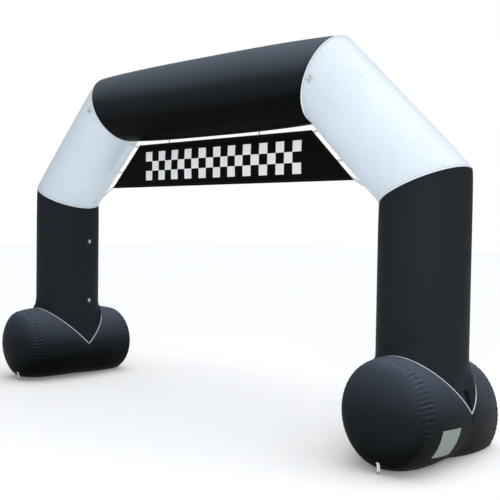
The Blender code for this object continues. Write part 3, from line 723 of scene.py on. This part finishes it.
def foot_welt(name, side):
    """The thin white welt round the V seam where a leg is sewn into its foot."""
    turns = np.arange(208) * math.tau / 208
    rear = turns <= math.pi
    folded = np.where(rear, turns, turns - math.pi)
    back, front = (side, 1), (side, -1)
    y = np.where(rear, crotch(back, folded), crotch(front, folded))
    wide = np.where(rear, foot_wide(back, y), foot_wide(front, y))
    turned = np.where(rear, swing(back, y), swing(front, y))
    sine = np.abs(np.sin(turns))
    deep = np.where(sine > 1e-6, y / np.maximum(sine, 1e-9), foot_wide(back, 0.0))

    def ring(inset, lift):
        x = side * (LEG_X + (wide - inset) * np.cos(turns)) + turned
        y_off = (deep - inset) * np.sin(turns)
        return np.stack([x, y_off, FOOT_Z + np.abs(y_off) + lift], axis=1)

    edges = ring(LIP_DEPTH, 0.0)
    outward = edges - np.array([side * LEG_X, 0.0, FOOT_Z])
    share = smooth(np.abs(edges[:, 1]) / 0.03)
    tilt = -np.sign(edges[:, 1]) * share
    across = np.stack([np.zeros_like(tilt), tilt, np.ones_like(tilt)], axis=1)
    across /= np.linalg.norm(across, axis=1)[:, None]
    chord = np.roll(edges, -1, axis=0) - np.roll(edges, 1, axis=0)
    out = np.cross(chord, across)
    out /= np.linalg.norm(out, axis=1)[:, None]
    out *= np.sign((out * outward).sum(axis=1))[:, None]
    lips = ring(LIP_SHY, LIP_LENGTH)
    rise = ((lips - edges) * out).sum(axis=1)
    run = np.maximum(np.abs(((lips - edges) * across).sum(axis=1)), 0.006)
    height = np.minimum(np.hypot(rise, run) * (FOOT_WELT_R + WELT_GAP) / run, LIP_DEPTH - LIP_SHY)
    return loop_piece(name, edges + out * height[:, None], out, across, FOOT_WELT_R, 10, WELT)


def slab(name, front, back, uvs, edge, run, material):
    """A thin closed sheet between two grids, with its edge distances and stitch runs."""
    rows, columns = front.shape[:2]
    count = rows * columns
    faces = []
    for r in range(rows - 1):
        for c in range(columns - 1):
            a, b = r * columns + c, r * columns + c + 1
            d, e = b + columns, a + columns
            faces.append((a, b, d, e))
            faces.append((count + e, count + d, count + b, count + a))
    rim = [(0, c) for c in range(columns)]
    rim += [(r, columns - 1) for r in range(1, rows)]
    rim += [(rows - 1, c) for c in range(columns - 2, -1, -1)]
    rim += [(r, 0) for r in range(rows - 2, 0, -1)]
    flat = [r * columns + c for r, c in rim]
    for a, b in zip(flat, flat[1:] + flat[:1]):
        faces.append((b, a, count + a, count + b))
    points = np.concatenate([front.reshape(-1, 3), back.reshape(-1, 3)])
    mesh = bpy.data.meshes.new(name)
    mesh.from_pydata(points.tolist(), [], faces)
    layer = mesh.uv_layers.new(name="cloth")
    both = np.concatenate([uvs.reshape(-1, 2), uvs.reshape(-1, 2)])
    corners = [both[k] for face in faces for k in face]
    layer.data.foreach_set("uv", np.array(corners, np.float32).reshape(-1))
    on_front = np.concatenate([np.ones(count), np.zeros(count)])
    for title, values in (("edge", np.tile(edge.reshape(-1), 2)), ("run", np.tile(run.reshape(-1), 2)), ("front", on_front)):
        held = mesh.attributes.new(title, "FLOAT", "POINT")
        held.data.foreach_set("value", values.astype(np.float32))
    mesh.shade_smooth()
    mesh.materials.append(material)
    made = bpy.data.objects.new(name, mesh)
    bpy.context.scene.collection.objects.link(made)
    made.modifiers.new("edges", "EDGE_SPLIT").split_angle = math.radians(50)
    return face_out(made)


def grid_facts(u, v, wide, high):
    """Distance to the nearest edge and the run along it, for a grid centred on zero."""
    to_side = wide / 2 - np.abs(u)
    to_end = high / 2 - np.abs(v)
    edge = np.minimum(to_side, to_end)
    run = np.where(to_side < to_end, v + 5.0, u + 5.0)
    return edge, run


def rim_steps(wide, inner, count):
    """Places across a piece from -wide/2 to wide/2, with steps at the hem."""
    near = np.array([0.0, inner * 0.5, inner, inner * 1.12])
    body = np.linspace(near[-1], wide - near[-1], count)[1:-1]
    return np.concatenate([near, body, wide - near[::-1]]) - wide / 2


def patch_piece(name, skin, wide, high, material, lift=PATCH_LIFT, hem=0.0):
    """A sewn patch on a skin; skin gives points and normals for two lengths from its middle."""
    u, v = np.meshgrid(rim_steps(wide, 0.003, 17), rim_steps(high, 0.003, 17))
    corner = 0.004
    bend = np.clip((np.abs(u) - wide / 2 + corner) / corner, 0, 1) * np.clip((np.abs(v) - high / 2 + corner) / corner, 0, 1)
    u = u - np.sign(u) * corner * 0.3 * bend**2
    v = v - np.sign(v) * corner * 0.3 * bend**2
    point, normal = skin(u, v)
    edge, run = grid_facts(u, v, wide, high)
    thick = PATCH_THICK * (0.55 + 0.45 * smooth(edge / 0.0012))
    cockle = 0.0003 * np.sin(900 * run) * smooth(1 - edge / 0.02)
    outer = point + normal * (lift + thick + np.maximum(0.0, cockle))[..., None]
    inner = point + normal * (lift - 0.0025)
    return slab(name, outer, inner, np.stack([u, v], axis=2), edge, run, material)


def strap_piece(name, start, end, material, drop=0.0):
    """A flat webbing strap with soft edges, which may sag a little."""
    start, end = np.array(start, float), np.array(end, float)
    length = np.linalg.norm(end - start)
    ahead = (end - start) / length
    half = np.cross(ahead, [0.0, 1.0, 0.0])
    u, v = np.meshgrid(np.linspace(-TIE_WIDTH / 2, TIE_WIDTH / 2, 9), np.linspace(0.0, length, 40))
    point = start + ahead * v[..., None] + half * u[..., None]
    point[..., 2] -= drop * np.sin(math.pi * v / length)
    thin = TIE_THICK * (0.4 + 0.6 * smooth((TIE_WIDTH / 2 - np.abs(u)) / 0.002))
    middle = BANNER_Y + BANNER_THICK + TIE_GAP + TIE_THICK / 2
    front, back = point.copy(), point.copy()
    front[..., 1] = middle - thin / 2
    back[..., 1] = middle + thin / 2
    sewn = np.minimum(np.abs(v), np.abs(TIE_LAP - v))
    edge = np.where(v < TIE_LAP, np.minimum(TIE_WIDTH / 2 - np.abs(u), sewn), TIE_WIDTH / 2 - np.abs(u) + 1.0)
    run = np.where(TIE_WIDTH / 2 - np.abs(u) < sewn, v, u + 1.0)
    return slab(name, front, back, np.stack([u, v], axis=2), edge, run, material)


def banner_half(z):
    share = (BANNER_TOP - z) / (BANNER_TOP - BANNER_LOW)
    return BANNER_TOP_X + (BANNER_LOW_X - BANNER_TOP_X) * share


def banner_piece():
    """The hanging banner: hemmed all round, a little billowed, with a plain chequered band."""
    high = BANNER_TOP - BANNER_LOW
    steps = np.array([0.0, 0.5, 0.94, 1.0, 1.1]) * HEM
    down = np.concatenate([steps, np.linspace(steps[-1], high - steps[-1], 40)[1:-1], high - steps[::-1]])
    rows = []
    for d in down:
        half = banner_half(BANNER_TOP - d)
        inner = np.linspace(-half + steps[-1] * 1.4, half - steps[-1] * 1.4, 190)[1:-1]
        rows.append(np.concatenate([-half + steps * 1.4, inner, half - steps[::-1] * 1.4]))
    x = np.array(rows)
    z = np.tile((BANNER_TOP - down)[:, None], (1, x.shape[1]))
    half = banner_half(z)
    u = (x / half + 1) / 2
    v = (BANNER_TOP - z) / high
    rim = np.sin(math.pi * v) * np.sqrt(np.sin(math.pi * np.clip(u, 0, 1)) + 1e-9)
    wave = 0.5 + 0.5 * np.sin(BANNER_WAVES * math.pi * u + 1.3 * v)
    y = BANNER_Y - BANNER_BILLOW * rim * wave
    pull = np.zeros_like(y)
    for at_x, at_z in ((-1.27, 2.84), (1.27, 2.84), (-1.77, 2.39), (1.77, 2.39), (TOP_TIE_X[0], 2.86), (TOP_TIE_X[1], 2.86)):
        far = np.hypot(x - at_x, z - at_z)
        turn = np.arctan2(z - at_z, x - at_x)
        pull += 0.0016 * np.sin(26 * turn) * smooth(far / 0.04) * smooth(1 - far / 0.45)
    y = y + pull * rim
    lean = math.hypot(1.0, (BANNER_LOW_X - BANNER_TOP_X) / high)
    to_side = (half - np.abs(x)) / lean
    to_end = np.minimum(BANNER_TOP - z, z - BANNER_LOW)
    edge = np.minimum(to_side, to_end)
    run = np.where(to_side < to_end, z, x + 5.0)
    hem = 0.0006 * (1 - smooth((edge - HEM * 0.94) / (HEM * 0.06)))
    thick = BANNER_THICK - 0.0008 + hem
    front = np.stack([x, y + (BANNER_THICK - thick) / 2, z], axis=2)
    back = np.stack([x, y + (BANNER_THICK + thick) / 2, z], axis=2)
    uvs = np.stack([x, z - (BANNER_TOP + BANNER_LOW) / 2 + 0.004], axis=2)
    made = slab("banner_cloth", front, back, uvs, edge, run, BANNER)
    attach(made, "root")
    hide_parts("banner")


def tube_line(side):
    start = np.array([side * LEG_X, 0.0, KNEE_Z])
    end = np.array([side * BEAM_X, 0.0, BEAM_Z])
    length = np.linalg.norm(end - start)
    along = (end - start) / length
    out = np.array([side, 0.0, 1.0]) / math.sqrt(2)
    return start, along, out, length


def diagonal_skin_at(side, place, turn):
    """Points and normals on a diagonal's plain skin at distances and turns."""
    start, along, out, length = tube_line(side)
    share = np.abs(2 * place / length - 1)
    radius = SEAM_R + (DIAGONAL_R - SEAM_R) * (1 - share**3)
    normal = np.cos(turn)[..., None] * out + np.sin(turn)[..., None] * np.array([0.0, 1.0, 0.0])
    return start + along * place[..., None] + normal * radius[..., None], normal


def add_ties():
    y = BANNER_Y + BANNER_THICK + TIE_GAP + TIE_THICK / 2
    for label, x in zip(("left", "right"), TOP_TIE_X):
        top = BEAM_Z - math.sqrt(BEAM_R**2 - y * y) + 0.003
        strap = strap_piece(f"tie_top_{label}_strap", (x, y, BANNER_TOP - TIE_LAP), (x, y, top), WEBBING)
        settle(strap, "webbing_white", f"tie_top_{label}")
    rows = (
        ("upper", TIE_PLACES[0], BANNER_TOP - TIE_WIDTH),
        ("middle", TIE_PLACES[1], None),
        ("lower", TIE_PLACES[2], BANNER_LOW + TIE_WIDTH),
    )
    for label, side in (("left", -1), ("right", 1)):
        for row, place, at_z in rows:
            turn = np.array(math.pi - math.asin(y / DIAGONAL_R))
            end, _ = diagonal_skin_at(side, np.array(place), turn)
            z = at_z if at_z else float(end[2])
            edge = np.array([side * banner_half(z), y, z])
            ahead = (end - edge) / np.linalg.norm(end - edge)
            strap = strap_piece(f"tie_{row}_{label}_strap", edge - ahead * TIE_LAP, end + ahead * 0.004, WEBBING)
            settle(strap, "webbing_white", f"tie_{row}_{label}")


def d_ring(name, origin, bar, away, normal):
    """A D ring of round wire: a bar, two short sides and a half circle."""
    points = []
    for k in range(8):
        points.append((-RING_HALF + 0.003 + (2 * RING_HALF - 0.006) * k / 7, 0.0))
    for k in range(1, 4):
        t = math.pi / 2 * k / 4
        points.append((RING_HALF - 0.003 + 0.003 * math.sin(t), 0.003 - 0.003 * math.cos(t)))
    for k in range(25):
        t = math.pi * k / 24
        points.append((RING_HALF * math.cos(t), RING_SIDE + RING_HALF * math.sin(t)))
    for k in range(1, 4):
        t = math.pi / 2 * k / 4
        points.append((-RING_HALF + 0.003 - 0.003 * math.cos(t), 0.003 - 0.003 * math.sin(t)))
    flat = np.array(points)
    step = np.roll(flat, -1, axis=0) - np.roll(flat, 1, axis=0)
    step /= np.linalg.norm(step, axis=1)[:, None]
    centres = origin + flat[:, :1] * bar + flat[:, 1:] * away
    outs = step[:, 1:] * bar - step[:, :1] * away
    acrosses = np.tile(normal, (len(flat), 1))
    return loop_piece(name, centres, outs, acrosses, RING_WIRE, 14, STEEL)


def band(name, line, across, width, thick, material):
    """Webbing that follows a line of points, with its width along across."""
    line = np.array(line)
    runs = np.concatenate([[0.0], np.cumsum(np.linalg.norm(np.diff(line, axis=0), axis=1))])
    step = np.gradient(line, axis=0)
    step /= np.linalg.norm(step, axis=1)[:, None]
    normal = np.cross(step, across)
    places = np.linspace(-width / 2, width / 2, 7)
    thin = thick * (0.5 + 0.5 * smooth((width / 2 - np.abs(places)) / 0.002))
    base = line[:, None, :] + places[None, :, None] * across
    front = base + normal[:, None, :] * (thin / 2)[None, :, None]
    back = base - normal[:, None, :] * (thin / 2)[None, :, None]
    u, v = np.meshgrid(places, runs)
    sewn = np.minimum(v, runs[-1] - v)
    edge = np.minimum(width / 2 - np.abs(u), sewn)
    return slab(name, front, back, np.stack([u, v], axis=2), edge, np.where(sewn < width / 2 - np.abs(u), u + 1.0, v), material)


def rounded(corners, radius=0.002, steps=5):
    """A line with its inner corners rounded."""
    corners = [np.array(c, float) for c in corners]
    line = [corners[0]]
    for before, corner, after in zip(corners, corners[1:], corners[2:]):
        a, b = before - corner, after - corner
        reach = min(radius, 0.45 * np.linalg.norm(a), 0.45 * np.linalg.norm(b))
        a, b = corner + reach * a / np.linalg.norm(a), corner + reach * b / np.linalg.norm(b)
        for k in range(steps + 1):
            t = k / steps
            line.append((1 - t) ** 2 * a + 2 * t * (1 - t) * corner + t * t * b)
    line.append(corners[-1])
    return line


def ring_set(label, skin, pale):
    """A patch, its D ring and the webbing loop over the ring's bar; away is down the skin."""
    cloth_of = RING_PATCH_PALE if pale else RING_PATCH_DARK
    patch = patch_piece(f"ring_patch_{label}_cloth", skin, RING_PATCH, RING_PATCH, cloth_of)
    settle(patch, "patch_grey" if pale else "coated_black", f"ring_patch_{label}")
    zero = np.zeros((1, 1))
    point, normal = (a[0, 0] for a in skin(zero, zero))
    ahead = skin(zero, zero + 0.01)[0][0, 0] - point
    away = ahead - normal * ahead.dot(normal)
    away /= -np.linalg.norm(away)
    bar = np.cross(away, normal)
    base = point + normal * (PATCH_LIFT + PATCH_THICK + FIT_GAP) - away * (RING_HALF / 2)
    high = 2 * RING_WIRE + 2 * FIT_GAP + 0.00075
    corners = [(-0.017, 0.00075), (-0.0078, 0.00075), (-0.0039, high), (0.0039, high), (0.0078, 0.00075), (0.017, 0.00075)]
    line = rounded([base + away * u + normal * v for u, v in corners])
    loop = band(f"ring_loop_{label}_webbing", line, bar, 0.024, 0.0015, WEBBING)
    settle(loop, "webbing_white", f"ring_loop_{label}")
    seat = base + normal * (RING_WIRE + FIT_GAP)
    settle(d_ring(f"ring_{label}_wire", seat, bar, away, normal), "ring_steel", f"ring_{label}")


def add_ring_sets():
    for label, side in (("left", -1), ("right", 1)):
        length = tube_line(side)[3]

        def front(u, v, side=side, length=length):
            place = length - RING_FROM_SEAM + v
            return diagonal_skin_at(side, place, 1.5 * math.pi + u / DIAGONAL_R)

        ring_set(f"front_{label}", front, True)
        inward = math.pi - math.asin(LEG_RING_BACK / LEG_R)
        for level, z in zip(("upper", "lower"), LEG_RING_Z):

            def leg(u, v, side=side, z=z):
                turn = inward + u / LEG_R
                normal = np.stack([side * np.cos(turn), np.sin(turn), np.zeros_like(turn)], axis=2)
                point = np.array([side * LEG_X, 0.0, 0.0]) + normal * LEG_R
                point[..., 2] = z + v
                return point, normal

            ring_set(f"{level}_{label}", leg, False)


def add_label():
    def skin(u, v):
        wide = abs(LABEL_Y[1] - LABEL_Y[0])
        y = np.mean(LABEL_Y) + u
        turn = math.radians(np.mean(LABEL_ANGLE)) + v / LABEL_R
        at = (1, -1)
        x = foot_wide(at, y) * np.cos(turn) + swing(at, y)
        low = belly(at, y) * np.minimum(0.0, np.sin(turn))
        z = FOOT_Z - sink(at, y) + foot_high(at, y) * np.sin(turn) + low
        normal = np.stack([np.cos(turn), np.zeros_like(turn), np.sin(turn)], axis=2)
        return np.stack([LEG_X + x, y, z], axis=2), normal

    high = math.radians(LABEL_ANGLE[0] - LABEL_ANGLE[1]) * LABEL_R
    made = patch_piece("label_patch_cloth", skin, LABEL_Y[1] - LABEL_Y[0], high, LABEL)
    settle(made, "patch_grey", "label_patch")


# Camera


def make_camera():
    yaw, pitch, roll = 0.727, -0.0305, 0.0153
    ahead = np.array([-math.sin(yaw) * math.cos(pitch), math.cos(yaw) * math.cos(pitch), math.sin(pitch)])
    right = np.array([math.cos(yaw), math.sin(yaw), 0.0])
    up = np.cross(right, ahead)
    turned = right * math.cos(roll) + up * math.sin(roll)
    upright = up * math.cos(roll) - right * math.sin(roll)
    data = bpy.data.cameras.new("camera")
    data.sensor_width = 36.0
    data.lens = 771.84 / 500 * 36
    data.clip_end = 200.0
    camera = bpy.data.objects.new("camera", data)
    columns = np.stack([turned, upright, -ahead], axis=1)
    matrix = Matrix([[*columns[i], 0.0] for i in range(3)] + [[0.0, 0.0, 0.0, 1.0]])
    matrix.translation = (5.820, -5.884, 1.926)
    camera.matrix_world = matrix
    bpy.context.scene.collection.objects.link(camera)
    bpy.context.scene.camera = camera


def make_stage():
    mesh = bpy.data.meshes.new("floor")
    reach = 60.0
    corners = [(-reach, -reach, 0), (reach, -reach, 0), (reach, reach, 0), (-reach, reach, 0)]
    mesh.from_pydata(corners, [], [(0, 1, 2, 3)])
    floor = bpy.data.objects.new("floor", mesh)
    bpy.context.scene.collection.objects.link(floor)
    made, tree, shader = new_material("pale_floor")
    shader.inputs["Base Color"].default_value = (0.95, 0.95, 0.95, 1.0)
    shader.inputs["Roughness"].default_value = 0.9
    shader.inputs["Emission Color"].default_value = (1.0, 1.0, 1.0, 1.0)
    shader.inputs["Emission Strength"].default_value = 0.12
    mesh.materials.append(made)
    world = bpy.data.worlds.new("studio")
    world.use_nodes = True
    tree = world.node_tree
    back = tree.nodes["Background"]
    seen = node(tree, "ShaderNodeLightPath").outputs["Is Camera Ray"]
    tree.links.new(mix(tree, seen, (0.86, 0.93, 1.0, 1.0), (1.0, 1.0, 1.0, 1.0)), back.inputs[0])
    tree.links.new(calc(tree, "MULTIPLY_ADD", seen, 0.68, 0.32), back.inputs[1])
    bpy.context.scene.world = world
    bpy.context.scene.view_settings.view_transform = "Standard"


def soft_sun(name, place, strength, angle):
    data = bpy.data.lights.new(name, "SUN")
    data.energy = strength
    data.angle = math.radians(angle)
    lamp = bpy.data.objects.new(name, data)
    away = Vector(place).normalized()
    lamp.rotation_mode = "QUATERNION"
    lamp.rotation_quaternion = away.to_track_quat("Z", "Y")
    bpy.context.scene.collection.objects.link(lamp)


def area_light(name, place, target, size, energy, colour=(1.0, 1.0, 1.0)):
    data = bpy.data.lights.new(name, "AREA")
    data.shape = "RECTANGLE"
    data.size, data.size_y = size
    data.energy = energy
    data.color = colour
    lamp = bpy.data.objects.new(name, data)
    place, target = (np.array(v, float) for v in (place, target))
    away = place - target
    away /= np.linalg.norm(away)
    side = np.cross([0.0, 0.0, 1.0], away)
    side /= np.linalg.norm(side)
    columns = np.stack([side, np.cross(away, side), away], axis=1)
    matrix = Matrix([[*columns[i], 0.0] for i in range(3)] + [[0.0, 0.0, 0.0, 1.0]])
    matrix.translation = place
    lamp.matrix_world = matrix
    bpy.context.scene.collection.objects.link(lamp)


def build():
    make_camera()
    make_stage()
    soft_sun("sky", (0.20, 0.10, 1.0), 2.05, 75.0)
    area_light("front", (7.5, -8.0, 3.5), (0.5, 0.0, 1.6), (4.0, 4.0), 340.0)

    left_knee, right_knee = (-LEG_X, 0.0, KNEE_Z), (LEG_X, 0.0, KNEE_Z)
    left_top, right_top = (-BEAM_X, 0.0, BEAM_Z), (BEAM_X, 0.0, BEAM_Z)
    beam = tube_skin("beam_skin", left_top, right_top, (0.0, 0.0, 1.0), BEAM_R, 3, BLACK)
    settle(beam, "coated_black", "beam", fill=0.95)
    left = tube_skin("diagonal_left_skin", left_knee, left_top, (-1.0, 0.0, 1.0), DIAGONAL_R, 11, WHITE)
    settle(left, "coated_white", "diagonal_left", fill=0.95)
    right = tube_skin("diagonal_right_skin", right_knee, right_top, (1.0, 0.0, 1.0), DIAGONAL_R, 17, WHITE)
    settle(right, "coated_white", "diagonal_right", fill=0.95)
    for label, side in (("left", -1), ("right", 1)):
        leg = leg_skin(f"leg_{label}_skin", side, 23 + side)
        settle(leg, "coated_black", f"leg_{label}", fill=0.95)
        foot = foot_skin(f"foot_{label}_skin", side, 41 + side)
        settle(foot, "coated_slate", f"foot_{label}", fill=0.9)
        for word, end in (("front", -1), ("back", 1)):
            cap = cap_skin(f"foot_cap_{label}_{word}_skin", side, end, 41 + side)
            settle(cap, "coated_slate", f"foot_cap_{label}_{word}", fill=0.9)
        knee, top = (side * LEG_X, 0.0, KNEE_Z), (side * BEAM_X, 0.0, BEAM_Z)
        for word, at_end in (("knee", False), ("beam", True)):
            welt = mitre_welt(f"welt_{word}_{label}_tape", knee, top, (side, 0.0, 1.0), at_end)
            settle(welt, "welt_white", f"welt_{word}_{label}")
        settle(foot_welt(f"welt_foot_{label}_tape", side), "welt_white", f"welt_foot_{label}")


def dress_nodes():
    """The anchors keep their solids, with the materials of webbing and wire."""
    for label in ("left", "right"):
        for end in ("front", "back"):
            for name, material in ((f"anchor_tab_{label}_{end}", TAB), (f"anchor_ring_{label}_{end}", STEEL)):
                thing = bpy.data.objects[name]
                for held in thing.material_slots:
                    held.material = material


build()
banner_piece()
add_ties()
add_ring_sets()
add_label()
dress_nodes()
